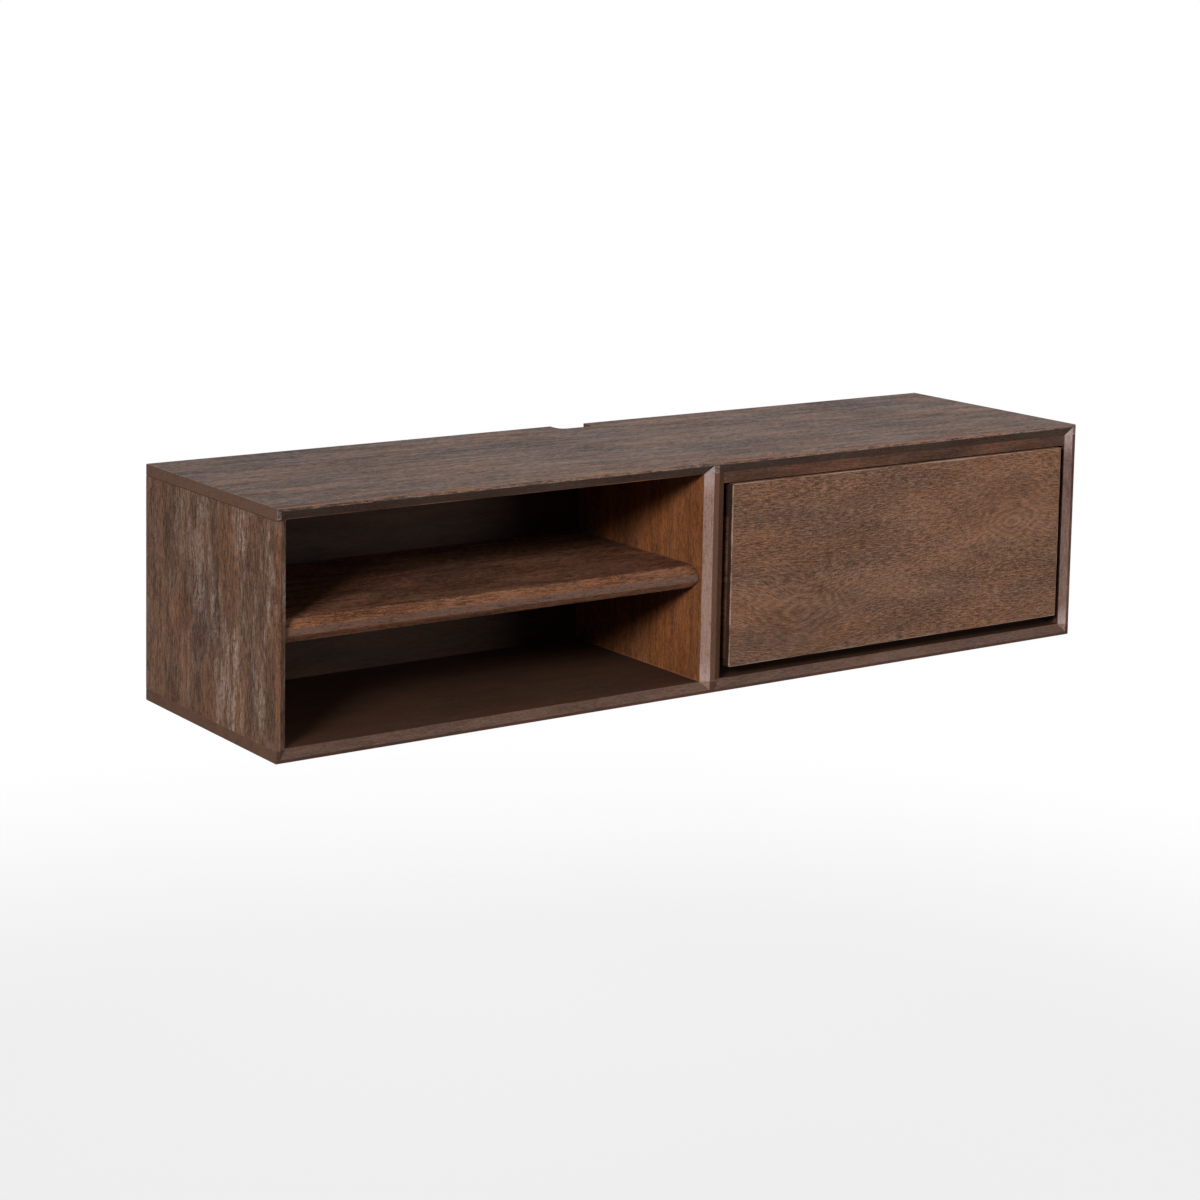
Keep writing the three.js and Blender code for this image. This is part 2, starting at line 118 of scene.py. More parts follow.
def watts(name, description, default):
    """A lamp's power in watts."""
    return bpy.props.FloatProperty(
        name=name, description=description, default=default, min=0.0, unit="POWER")


def stain(
        class_name, deep, middle, warm, edge,
        figure, bands, flecks, strokes, pores, weather, wear, gloss):
    """A group of settings for one stained wood, with its own defaults."""
    settings = {
        "deep": colour("Deep tone", "Dark tone of the grain", deep),
        "middle": colour("Middle tone", "Tone between the dark and the warm grain", middle),
        "warm": colour("Warm tone", "Light, warm tone of the grain", warm),
        "edge": colour("Edge tone", "Tone of the rubbed arrises", edge),
        "figure": length("Figure", "How far the grain wanders across the board", figure),
        "bands": share("Bands", "Contrast of the broad bands of the grain", bands, most=3.0),
        "flecks": share("Flecks", "Contrast of the short flecks of the grain", flecks, most=3.0),
        "strokes": share("Strokes", "Contrast of the fine strokes of the grain", strokes, most=3.0),
        "pores": share("Pores", "Darkness of the open pores", pores),
        "weather": share("Weathering", "Strength of the pale, chalky streaks", weather),
        "wear": share("Worn arrises", "Strength of the rubbed, paler edges", wear),
        "gloss": share("Gloss", "Specular level of the lacquer", gloss),
    }
    return type(class_name, (bpy.types.PropertyGroup,), {
        "__doc__": "Colours and finish of one wood.", "__annotations__": settings})


TopStain = stain(
    "ConsoleTopStain", (65, 56, 52), (105, 89, 83), (144, 121, 107), (156, 104, 78),
    figure=0.024, bands=0.6, flecks=1.8, strokes=2.3, pores=0.75, weather=0.04, wear=0.85, gloss=0.12)
FrameStain = stain(
    "ConsoleFrameStain", (47, 33, 27), (80, 56, 45), (115, 80, 62), (140, 94, 70),
    figure=0.020, bands=0.9, flecks=0.5, strokes=1.0, pores=0.40, weather=0.10, wear=0.35, gloss=0.14)
# The side's chalk grows towards the front, partly as painted light
SideStain = stain(
    "ConsoleSideStain", (58, 44, 36), (96, 73, 62), (141, 103, 76), (160, 104, 72),
    figure=0.018, bands=0.8, flecks=0.6, strokes=1.8, pores=0.40, weather=1.0, wear=0.40, gloss=0.10)
InnerStain = stain(
    "ConsoleInnerStain", (80, 47, 31), (122, 76, 46), (156, 99, 58), (150, 100, 66),
    figure=0.016, bands=0.9, flecks=1.0, strokes=1.4, pores=0.30, weather=0.06, wear=0.25, gloss=0.14)
ShelfStain = stain(
    "ConsoleShelfStain", (64, 42, 31), (106, 71, 53), (144, 101, 78), (156, 104, 74),
    figure=0.022, bands=0.9, flecks=1.9, strokes=2.6, pores=0.60, weather=0.08, wear=0.45, gloss=0.10)
PanelStain = stain(
    "ConsolePanelStain", (76, 54, 43), (111, 81, 63), (145, 107, 85), (170, 146, 130),
    figure=0.026, bands=0.55, flecks=0.15, strokes=2.2, pores=0.55, weather=0.05, wear=0.80, gloss=0.14)
BackStain = stain(
    "ConsoleBackStain", (47, 36, 30), (66, 51, 43), (84, 64, 54), (74, 56, 46),
    figure=0.016, bands=0.5, flecks=0.4, strokes=0.5, pores=0.25, weather=0.0, wear=0.10, gloss=0.08)
PlainWood = stain(
    "ConsolePlainWood", (142, 112, 82), (170, 138, 104), (190, 158, 122), (196, 168, 134),
    figure=0.020, bands=0.5, flecks=0.3, strokes=0.6, pores=0.20, weather=0.0, wear=0.20, gloss=0.18)


class ConsoleSizes(bpy.types.PropertyGroup):
    """Sizes of the softened edges, the small fasteners and the stage."""

    arris: length("Arris", "Rounding of a board's sharp edges", 0.6 * MILLI)
    wear_width: length("Wear width", "How far the rubbed colour reaches from an edge", 3.2 * MILLI)
    head_radius: length("Screw head radius", "Radius of a pan head", 3.6 * MILLI)
    head_height: length("Screw head height", "Height of a pan head", 1.8 * MILLI)
    flat_head_height: length("Flat head height", "Height of a low head in the fixed runner", 0.34 * MILLI)
    floor_drop: length("Floor drop", "From the console's base to the floor", 0.92)


class ConsoleLights(bpy.types.PropertyGroup):
    """Levels of the studio light."""

    key: watts("Key", "Soft lamp at the left", 195.0)
    fill: watts("Fill", "Weak, low lamp at the right", 12.0)
    top: watts("Top", "Wide lamp above", 28.0)
    rear: watts("Rear", "Soft lamp behind the console", 46.0)
    room: share("Room", "Light of the room around", 0.02)


class ConsoleSettings(bpy.types.PropertyGroup):
    """All settings of the console."""

    sizes: bpy.props.PointerProperty(type=ConsoleSizes)
    lights: bpy.props.PointerProperty(type=ConsoleLights)
    top_stain: bpy.props.PointerProperty(type=TopStain)
    frame_stain: bpy.props.PointerProperty(type=FrameStain)
    side_stain: bpy.props.PointerProperty(type=SideStain)
    back_stain: bpy.props.PointerProperty(type=BackStain)
    inner_stain: bpy.props.PointerProperty(type=InnerStain)
    shelf_stain: bpy.props.PointerProperty(type=ShelfStain)
    panel_stain: bpy.props.PointerProperty(type=PanelStain)
    plain_wood: bpy.props.PointerProperty(type=PlainWood)
    steel: colour("Zinc", "Bright zinc plating", (196, 199, 203))
    plastic: colour("Plastic", "Black moulded plastic", (30, 30, 31))


def settings():
    """The console's settings in this scene."""
    return bpy.context.scene.console


# Node trees

class Signal:
    """A number that runs through a node tree, with the usual arithmetic."""

    def __init__(self, sheet, socket):
        self.sheet = sheet
        self.socket = socket

    def _math(self, operation, first, second):
        return self.sheet.signal("ShaderNodeMath", {"operation": operation}, {0: first, 1: second})

    def __add__(self, other):
        return self._math("ADD", self, other)

    def __sub__(self, other):
        return self._math("SUBTRACT", self, other)

    def __rsub__(self, other):
        return self._math("SUBTRACT", other, self)

    def __mul__(self, other):
        return self._math("MULTIPLY", self, other)

    def __truediv__(self, other):
        return self._math("DIVIDE", self, other)

    __radd__ = __add__
    __rmul__ = __mul__

    def maths(self, operation, second=0.0):
        """Another of the operations of a Math node."""
        return self._math(operation, self, second)

    def between(self, low, high):
        """0 below low, 1 above high, and a smooth step between them."""
        return self.sheet.signal(
            "ShaderNodeMapRange", {"interpolation_type": "SMOOTHSTEP"},
            {"Value": self, "From Min": low, "From Max": high})

    def lifted(self, least):
        """A level from 0 to 1, squeezed into least to 1."""
        return self * (1.0 - least) + least


class Sheet:
    """A node tree that is filled node by node."""

    def __init__(self, tree):
        self.tree = tree
        tree.nodes.clear()

    def add(self, kind, how=None, sockets=None):
        """A node of a kind, with its settings and then the values or links of its sockets."""
        node = self.tree.nodes.new(kind)
        for key, value in (how or {}).items():
            if key == "stops":
                self._set_stops(node.color_ramp, value)
            else:
                setattr(node, key, value)
        for key, value in (sockets or {}).items():
            self.plug(node.inputs[key], value)
        return node

    def _set_stops(self, ramp, stops):
        while len(ramp.elements) < len(stops):
            ramp.elements.new(1.0)
        for element, (position, shade) in zip(ramp.elements, stops):
            element.position = position
            element.color = (*shade, 1.0)

    def plug(self, socket, value):
        value = getattr(value, "socket", value)
        if isinstance(value, bpy.types.NodeSocket):
            self.tree.links.new(value, socket)
        elif socket.type == "RGBA":
            socket.default_value = (*value[:3], 1.0)
        else:
            socket.default_value = value

    def signal(self, kind, how=None, sockets=None, out=0):
        """One output of a new node, as a number to reckon with."""
        return Signal(self, self.add(kind, how, sockets).outputs[out])

    def vector(self, x, y, z):
        return self.add("ShaderNodeCombineXYZ", None, {0: x, 1: y, 2: z}).outputs[0]

    def parts(self, vector):
        apart = self.add("ShaderNodeSeparateXYZ", None, {0: vector})
        return [Signal(self, socket) for socket in apart.outputs]

    def scaled(self, place, scale):
        """A place whose three axes are each multiplied."""
        return self.add("ShaderNodeMapping", None, {"Vector": place, "Scale": scale}).outputs[0]

    def noise(self, place, detail=2.0, roughness=0.5):
        """Soft random levels round a half, at one wave to a unit of place."""
        return self.signal("ShaderNodeTexNoise", None, {
            "Vector": place, "Scale": 1.0, "Detail": detail, "Roughness": roughness})

    def mix(self, share_of_second, first, second, blend="MIX"):
        """Two colours mixed."""
        node = self.add(
            "ShaderNodeMix", {"data_type": "RGBA", "blend_type": blend},
            {0: share_of_second, 6: first, 7: second})
        return node.outputs[2]

    def bump(self, height, distance, strength):
        """A normal that follows a height."""
        return self.add(
            "ShaderNodeBump", None,
            {"Height": height, "Distance": distance, "Strength": strength}).outputs[0]


def new_material(name, **principled):
    """A material with a Principled shader, whose even values are set on its own sockets."""
    material = bpy.data.materials.new(name)
    material.use_nodes = True
    sheet = Sheet(material.node_tree)
    shader = sheet.add("ShaderNodeBsdfPrincipled", None, {
        key.replace("_", " ").title().replace("Ior", "IOR"): value for key, value in principled.items()})
    sheet.add("ShaderNodeOutputMaterial", None, {"Surface": shader.outputs[0]})
    return material, sheet, shader


# Woods: tones. Some are painted light and shade: the pale highlight, the pink, grey and orange sheens, and
# the shade under bevels and on the bay's floor.

GREY_CHALK = tint(168, 146, 134)
OPEN_PORE = tint(30, 21, 17)
# Painted highlight: a pale tone on left-facing slants, towards the mitres
PAINTED_PALE_HIGHLIGHT = tint(176, 156, 150)
# Painted sheen: the lamp's glint on bevels that face left, towards it
PAINTED_PINK_SHEEN = tint(155, 128, 118)
# Painted sheen on the bottom board's up-facing front bevel
PAINTED_GREY_SHEEN = tint(112, 90, 80)
RED_BROWN = tint(66, 44, 36)
# Painted shade on slants that face down or away from the lamp
PAINTED_UNDER_SHADE = tint(50, 32, 22)
# Painted shade on the floor of the open bay and on the board's underside
PAINTED_FLOOR_SHADE = tint(59, 37, 23)
LIP_TONE = tint(92, 66, 56)
NOSE_TONE = tint(108, 84, 74)
# Painted sheen on the upper slant of the shelf's nose
PAINTED_ORANGE_SHEEN = tint(142, 92, 62)
RIM_TONE = tint(140, 92, 66)
END_TONE = tint(102, 75, 61)
COOL_PATCH = (0.93, 0.96, 1.0)
WARM_PATCH = (1.03, 0.96, 0.89)
END_GRAIN_SHADE = 0.12


# Woods: noises of the grain

class Noise(NamedTuple):
    """A noise in the wood, whose waves along and across the grain are counted to a metre.

    One that follows the figure wanders with the grain. As a mask, a noise is 0 below low
    and 1 above high.
    """

    along: float
    across: float
    detail: float
    roughness: float = 0.5
    follows: bool = True
    low: float = 0.0
    high: float = 1.0


NOISES = {
    "drift": Noise(1.8, 5.5, 2.5, follows=False),
    "ripple": Noise(10.0, 26.0, 2.0, follows=False),
    "blotch": Noise(4.5, 15.0, 3.0, 0.6, follows=False),
    "bands": Noise(8.0, 52.0, 3.5, 0.62),
    "flecks": Noise(11.0, 88.0, 3.5, 0.62),
    "strokes": Noise(72.0, 520.0, 2.0, 0.65),
    "grit": Noise(280.0, 800.0, 1.5, 0.6),
    "pore groups": Noise(9.0, 34.0, 2.0, low=0.45, high=0.62),
    "pores": Noise(40.0, 420.0, 2.0, 0.6, low=0.58, high=0.72),
    "patches": Noise(5.0, 17.0, 2.5, 0.6, low=0.36, high=0.64),
    "chalk patches": Noise(5.0, 12.0, 4.0, 0.65, follows=False, low=0.43, high=0.58),
    "chalk strands": Noise(18.0, 110.0, 4.0, 0.75, low=0.42, high=0.56),
    "chalk specks": Noise(160.0, 360.0, 2.0, 0.8, low=0.40, high=0.56),
    "rubbing": Noise(9.0, 24.0, 3.0, 0.6, follows=False),
}

# How far the figure pulls the lines of the grain
DRIFT_PULL = 2.0
RIPPLE_PULL = 0.35

# A knot's swirl, drawn out along the grain, and its rings
EDDY_STRETCH = 1.6
EDDY_FADE = 0.8
EDDY_CALM = 0.5
RING_WAVES = 24.0
RING_RIPPLE = 1.2
RING_DRIFT = 1.5


class Plank:
    """A board in its place in the tree that it was sawn from, and the noises of its grain."""

    def __init__(self, sheet, place, order, spot):
        self.sheet = sheet
        self.along, self.across, self.through = (place[axis] for axis in order)
        self.line = self.across
        self.spot = spot

    def noise(self, kind):
        """One of the noises, round a half."""
        made = NOISES[kind]
        cross = self.line if made.follows else self.across
        start_along, start_across, start_through = self.spot
        place = self.sheet.vector(
            (self.along + start_along) * made.along,
            (cross + start_across) * made.across,
            (self.through + start_through) * made.across)
        return self.sheet.noise(place, made.detail, made.roughness)

    def sway(self, kind):
        """One of the noises, round 0."""
        return self.noise(kind) - 0.5

    def mask(self, kind):
        """One of the noises, from 0 below its low level to 1 above its high one."""
        return self.noise(kind).between(NOISES[kind].low, NOISES[kind].high)

    def bend(self, figure, eddies):
        """Lets the lines of the grain wander by figure, and swirl round the eddies.

        Returns how calm the fine grain is in them, from 1 down, and their rings.
        """
        drift, ripple = self.sway("drift"), self.sway("ripple")
        self.line = self.across + drift * (figure * DRIFT_PULL) + ripple * (figure * RIPPLE_PULL)
        calm, rings = 1.0, 0.0
        for eddy_along, eddy_across, size, pull in eddies:
            reach_along = (self.along - eddy_along) / (size * EDDY_STRETCH)
            reach_across = (self.across - eddy_across) / size
            reach = reach_along * reach_along + reach_across * reach_across
            near = (reach * -EDDY_FADE).maths("EXPONENT")
            phase = reach.maths("SQRT") + ripple * RING_RIPPLE + drift * RING_DRIFT
            self.line = self.line + near * pull
            calm = calm - near * EDDY_CALM
            rings = rings + (phase * RING_WAVES).maths("SINE") * near
        return calm, rings


# How much each noise sways the tone, the mottling of a face's own tone or painted light, and the relief
TONE_SHARES = {"blotch": 0.55, "bands": 0.6, "flecks": 0.6, "strokes": 0.75, "grit": 0.45, "rings": 0.10}
MOTTLE_SHARES = {"bands": 0.8, "flecks": 0.9, "strokes": 1.2, "grit": 1.6}
RELIEF_SHARES = {"strokes": 0.6, "grit": 0.3}

# Levels of the tone, at which the three tones of a stain lie
MIDDLE_TONE = 0.5
TONE_STOPS = (0.22, 0.50, 0.80)

# Least levels of the masks that only weaken another
LEAST_PORES = 0.2
LEAST_SPECKS = 0.15
LEAST_FRONT_LIGHT = 0.25

# How directly a face turns to an axis: where that begins to count, and where it counts fully
END_FACE = (0.75, 0.95)
FLAT_FACE = (0.90, 0.98)
SLANT_BEGINS = (0.15, 0.35)
SLANT_ENDS = (0.72, 0.88)
MOTTLE = 0.9

# Depths from the wall between which the chalk grows stronger, partly as painted light that makes the side
# paler towards the front
CHALK_AND_PAINTED_LIGHT_DEPTHS = (0.02, 0.36)

# The ends of an upright board's left-facing slanting faces, turned pale as a painted highlight, and the
# pale line at its foot
TIP_MARGIN = 2 * MILLI
TIP_REACH = 40 * MILLI
TIP_STRENGTH = 0.75
FOOT_LINE = (0.8 * MILLI, 1.6 * MILLI)
FOOT_STRENGTH = 0.55

# Rubbed arrises
WORN_NAME = "arris_wear"
RUB_PATCHES = 2.0
RUB_GRIT = 0.6
RUB_STEP = (0.50, 1.05)
RUB_REACH = (0.25, 0.75)

# The skin of the lacquer
LACQUER_IOR = 1.45
ROUGHNESS = 0.76
PORE_ROUGHNESS = 0.15
RUBBED_ROUGHNESS = 0.05
STROKE_GLOSS = 0.20
RELIEF_DEPTH = 0.20 * MILLI
RELIEF_STRENGTH = 0.8


def weighed(start, levels, shares):
    """A level that starts at start and takes its share of each of the others."""
    return sum((levels[kind] * part for kind, part in shares.items()), start)


def chalk(plank, place):
    """Pale weathering in patches of broken strands, stronger towards the front."""
    forward = (place["Y"] * -1.0).between(*CHALK_AND_PAINTED_LIGHT_DEPTHS).lifted(LEAST_FRONT_LIGHT)
    specks = plank.mask("chalk specks").lifted(LEAST_SPECKS)
    return plank.mask("chalk patches") * plank.mask("chalk strands") * specks * forward


def rubbed_arrises(plank, grit):
    """Where the stain is rubbed off, in patches along the marked arrises."""
    worn = plank.sheet.signal("ShaderNodeAttribute", {"attribute_name": WORN_NAME}, out="Fac")
    patchy = worn + plank.sway("rubbing") * RUB_PATCHES + grit * RUB_GRIT
    return patchy.between(*RUB_STEP) * worn.between(*RUB_REACH)


def wood(name, look, order, spot, eddies=(), ends=0.2, faces=(), foot=None, tips=None):
    """The material of one board.

    look is its stain. order names the axes along the grain, across it and through the
    board, and spot is the board's place in the tree. An eddy is a knot's swirl: its place
    along and across, its size and how far it pulls the grain. ends is how dark the end
    grain has drunk the stain. Each of faces has a finish of its own: the axis that it turns
    to, with a sign if one way alone is meant, whether it is flat or slanting, and the
    strength and tone of the finish. foot is the height at which an upright board stands on
    another, with a thin pale line. tips are the heights of an upright board's two ends,
    towards which its slanting faces are rubbed down to the primer.
    """
    material, sheet, shader = new_material(name, specular_ior_level=look.gloss, ior=LACQUER_IOR)
    coordinates = sheet.add("ShaderNodeTexCoord").outputs
    place = dict(zip("XYZ", sheet.parts(coordinates["Object"])))
    normal = dict(zip("XYZ", sheet.parts(coordinates["Normal"])))
    facing = {axis: side.maths("ABSOLUTE") for axis, side in normal.items()}
    facing["-X"], facing["+X"] = normal["X"] * -1.0, normal["X"]

    def flat(axis):
        return facing[axis].between(*FLAT_FACE)

    def slanting(axis):
        return facing[axis].between(*SLANT_BEGINS) * (1.0 - facing[axis].between(*SLANT_ENDS))

    plank = Plank(sheet, place, order, spot)
    calm, rings = plank.bend(look.figure, eddies)
    sways = {kind: plank.sway(kind) for kind in ("blotch", "bands")}
    sways.update({kind: plank.sway(kind) * calm for kind in ("flecks", "strokes", "grit")})
    sways["rings"] = rings
    pores = plank.mask("pores") * plank.mask("pore groups").lifted(LEAST_PORES) * look.pores
    mottle = weighed(MOTTLE, sways, MOTTLE_SHARES)
    rubbed = rubbed_arrises(plank, sways["grit"])

    contrast = {"bands": look.bands, "flecks": look.flecks, "strokes": look.strokes, "grit": look.strokes}
    shares = {kind: part * contrast.get(kind, 1.0) for kind, part in TONE_SHARES.items()}
    stops = list(zip(TONE_STOPS, (look.deep, look.middle, look.warm)))
    tone = weighed(MIDDLE_TONE, sways, shares)
    base = sheet.add("ShaderNodeValToRGB", {"stops": stops}, {"Fac": tone}).outputs[0]
    patches = sheet.mix(plank.mask("patches"), COOL_PATCH, WARM_PATCH)
    base = sheet.mix(1.0, base, patches, blend="MULTIPLY")
    base = sheet.mix(pores, base, OPEN_PORE)
    if look.weather > 0:
        # Chalky weathering; its growth towards the front is partly painted light
        base = sheet.mix(chalk(plank, place) * look.weather, base, GREY_CHALK)
    # Dark end grain; on the drawer front, where it is strongest, it is mostly painted shade
    end_grain = tuple(level * END_GRAIN_SHADE for level in look.middle)
    base = sheet.mix(facing[order[0]].between(*END_FACE) * ends, base, end_grain)

    # Face tones: the wood's own, such as the end grain, or painted sheen, highlight and shade
    kinds = {"flat": flat, "slanting": slanting}
    for axis, kind, strength, shade in faces:
        cover = kinds[kind](axis) * strength * mottle
        base = sheet.mix(cover.maths("MINIMUM", 1.0), base, shade)
    # Painted highlight: left-facing slants turn pale towards an upright board's ends
    if tips is not None:
        middle, half = (tips[1] + tips[0]) / 2, (tips[1] - tips[0]) / 2
        from_middle = (place["Z"] - middle).maths("ABSOLUTE")
        near_tip = from_middle.between(half - TIP_REACH, half - TIP_MARGIN)
        cover = near_tip * slanting("-X") * mottle * TIP_STRENGTH
        base = sheet.mix(cover.maths("MINIMUM", 1.0), base, PAINTED_PALE_HIGHLIGHT)

    base = sheet.mix(rubbed * look.wear, base, look.edge)
    if foot is not None:
        line = 1.0 - place["Z"].between(foot + FOOT_LINE[0], foot + FOOT_LINE[1])
        base = sheet.mix(line * FOOT_STRENGTH, base, look.edge)
    sheet.plug(shader.inputs["Base Color"], base)

    sheet.plug(
        shader.inputs["Roughness"],
        pores * PORE_ROUGHNESS + rubbed * RUBBED_ROUGHNESS - sways["strokes"] * STROKE_GLOSS + ROUGHNESS)
    relief = weighed(pores * -1.0, sways, RELIEF_SHARES)
    sheet.plug(shader.inputs["Normal"], sheet.bump(relief, RELIEF_DEPTH, RELIEF_STRENGTH))
    return material


# Metal and plastic

# Waves to a metre along the three axes; the runners are rolled along Y
ROLLING_LINES = (900.0, 12.0, 900.0)
SPANGLES = (420.0, 420.0, 420.0)
SPARK_SKIN = (1600.0, 1600.0, 1600.0)

# Where a pattern shows, its tone against the ground, and how it sways the gloss and the height
SPANGLE_STEP = (0.3, 0.75)
SPANGLE_SHADE = 0.72
SPANGLE_GLOSS = 0.16
ROLLED_GLOSS = 0.18
ROLLED_DEPTH = 0.03 * MILLI
SKIN_STEP = (0.35, 0.8)
SKIN_SHADE = 1.5
SKIN_GLOSS = 0.2
SKIN_DEPTH = 0.05 * MILLI
PLASTIC_ROUGHNESS = 0.56


def zinc(name, shade, roughness):
    """Bright zinc on rolled steel: faint rolling lines and small spangles."""
    material, sheet, shader = new_material(name, metallic=1.0)
    place = sheet.add("ShaderNodeTexCoord").outputs["Object"]
    lines = sheet.noise(sheet.scaled(place, ROLLING_LINES), detail=3.0, roughness=0.6)
    spangle = sheet.noise(sheet.scaled(place, SPANGLES))
    dull = tuple(level * SPANGLE_SHADE for level in shade)
    sheet.plug(shader.inputs["Base Color"], sheet.mix(spangle.between(*SPANGLE_STEP), shade, dull))
    gloss = (lines - 0.5) * ROLLED_GLOSS + (spangle - 0.5) * SPANGLE_GLOSS
    sheet.plug(shader.inputs["Roughness"], gloss + roughness)
    sheet.plug(shader.inputs["Normal"], sheet.bump(lines, ROLLED_DEPTH, 0.5))
    return material


def moulded(name, shade):
    """Matt moulded plastic with a fine spark-eroded skin."""
    material, sheet, shader = new_material(name, specular_ior_level=0.35)
    place = sheet.add("ShaderNodeTexCoord").outputs["Object"]
    skin = sheet.noise(sheet.scaled(place, SPARK_SKIN), detail=3.0, roughness=0.6)
    paler = tuple(min(1.0, level * SKIN_SHADE + 0.004) for level in shade)
    sheet.plug(shader.inputs["Base Color"], sheet.mix(skin.between(*SKIN_STEP), shade, paler))
    sheet.plug(shader.inputs["Roughness"], (skin - 0.5) * SKIN_GLOSS + PLASTIC_ROUGHNESS)
    sheet.plug(shader.inputs["Normal"], sheet.bump(skin, SKIN_DEPTH, 0.6))
    return material


def finish_node(node, material):
    """Gives a solid that shows itself its material."""
    node.data.materials.clear()
    node.data.materials.append(material)


# Boards: a copy of a solid, with its sharp edges rounded and marked for wear

SHARP = math.radians(38)
WORN_ARRIS = math.radians(31)
SOFT_ARRIS = math.radians(15)
SHORTEST_ARRIS = 3 * MILLI
SHORTEST_WEAR = 40 * MILLI
NARROW_FACET = 1.6 * MILLI
TOUCH = 1.7 * MILLI
SAME_POINT = 0.002 * MILLI
SAME_PLANE = 0.001 * MILLI
PLANE_DIGITS = 5
FLAT_TURN = math.radians(0.6)
PARALLEL = 0.99
ARRIS_SEGMENTS = 3


def joined_mesh(node):
    """A node's triangles joined up, and its flat faces made whole."""
    shape = bmesh.new()
    shape.from_mesh(NODES[node].data)
    bmesh.ops.remove_doubles(shape, verts=shape.verts, dist=SAME_POINT)
    bmesh.ops.dissolve_limit(
        shape, angle_limit=FLAT_TURN, verts=shape.verts[:], edges=shape.edges[:])
    return shape


def surface_of(nodes):
    """The surface of several nodes, for asking what lies against a point."""
    corners, faces = [], []
    for node in nodes:
        mesh = NODES[node].data
        first = len(corners)
        corners += [vertex.co.copy() for vertex in mesh.vertices]
        faces += [[first + corner for corner in face.vertices] for face in mesh.polygons]
    return BVHTree.FromPolygons(corners, faces)


def runs_along(edge, axes):
    """Whether an edge is long enough to be rubbed, and runs along one of the axes."""
    run = edge.verts[1].co - edge.verts[0].co
    along = [abs(run["XYZ".index(axis)]) > PARALLEL * run.length for axis in axes]
    return run.length > SHORTEST_WEAR and any(along)


def open_arrises(shape, neighbours, least_turn):
    """Outward edges of a board that turn by least_turn or more and don't lie against a neighbour."""
    found = []
    for edge in shape.edges:
        if len(edge.link_faces) != 2 or not edge.is_convex or edge.calc_length() < SHORTEST_ARRIS:
            continue
        if edge.calc_face_angle(0.0) < least_turn:
            continue
        middle = (edge.verts[0].co + edge.verts[1].co) / 2
        hit = neighbours.find_nearest(middle)
        if hit[3] is None or hit[3] > TOUCH:
            found.append(edge)
    return found


def cut_beside(shape, arrises, width):
    """Cuts the faces in lines beside every arris, so that the wear can fade out there."""
    planes = set()
    for edge in arrises:
        first, second = (vertex.co for vertex in edge.verts)
        for axis in range(3):
            if abs(first[axis] - second[axis]) < SAME_PLANE:
                for way in (-width, width):
                    planes.add((axis, round(first[axis] + way, PLANE_DIGITS)))
    for axis, place in sorted(planes):
        normal = Vector((0, 0, 0))
        normal[axis] = 1.0
        bmesh.ops.bisect_plane(
            shape, geom=shape.verts[:] + shape.edges[:] + shape.faces[:], dist=SAME_PLANE,
            plane_co=normal * place, plane_no=normal)


def dress_board(name, node, body, material, neighbours, worn_axes):
    """A board of wood in place of its solid, rubbed on its arrises along worn_axes."""
    sizes = settings().sizes
    shape = joined_mesh(node)
    near = surface_of(neighbours)
    arrises = [edge for edge in open_arrises(shape, near, WORN_ARRIS) if runs_along(edge, worn_axes)]
    lines = [(edge.verts[0].co.copy(), edge.verts[1].co.copy()) for edge in arrises]
    cut_beside(shape, arrises, sizes.wear_width)
    wide = [
        edge for edge in open_arrises(shape, near, SOFT_ARRIS)
        if min(face.calc_area() / edge.calc_length() for face in edge.link_faces) > NARROW_FACET]
    bmesh.ops.bevel(
        shape, geom=wide, offset=sizes.arris, segments=ARRIS_SEGMENTS, profile=0.5, affect="EDGES",
        clamp_overlap=True)
    for face in shape.faces:
        face.smooth = True
    for edge in shape.edges:
        turn = edge.calc_face_angle(0.0)
        edge.smooth = turn < SHARP and (edge.is_convex or turn < SOFT_ARRIS)
    mesh = bpy.data.meshes.new(name)
    shape.to_mesh(mesh)
    shape.free()
    mark_wear(mesh, lines, sizes.wear_width)
    piece = bpy.data.objects.new(name, mesh)
    bpy.context.scene.collection.objects.link(piece)
    mesh.materials.append(material)
    flatten_faces(piece)
    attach(piece, body)
    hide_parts(node)
    return piece


def mark_wear(mesh, lines, width):
    """Writes on each corner how near it lies to an arris: 1 on it, 0 from width away."""
    marks = mesh.attributes.new(WORN_NAME, "FLOAT", "POINT")
    for vertex, mark in zip(mesh.vertices, marks.data):
        nearest = width
        for first, second in lines:
            run = second - first
            step = max(0.0, min(1.0, (vertex.co - first).dot(run) / run.length_squared))
            nearest = min(nearest, (vertex.co - first - run * step).length)
        mark.value = 1 - nearest / width


def flatten_faces(piece):
    """Smooth shading that leaves the flat faces flat."""
    weight = piece.modifiers.new("Flat faces", "WEIGHTED_NORMAL")
    weight.keep_sharp = True
    weight.weight = 100
    settle(piece)


def settle(piece):
    """Takes a piece's modifiers into its mesh."""
    bpy.context.view_layer.update()
    graph = bpy.context.evaluated_depsgraph_get()
    done = bpy.data.meshes.new_from_object(
        piece.evaluated_get(graph), preserve_all_data_layers=True, depsgraph=graph)
    old = piece.data
    piece.modifiers.clear()
    piece.data = done
    done.name = old.name
    bpy.data.meshes.remove(old)


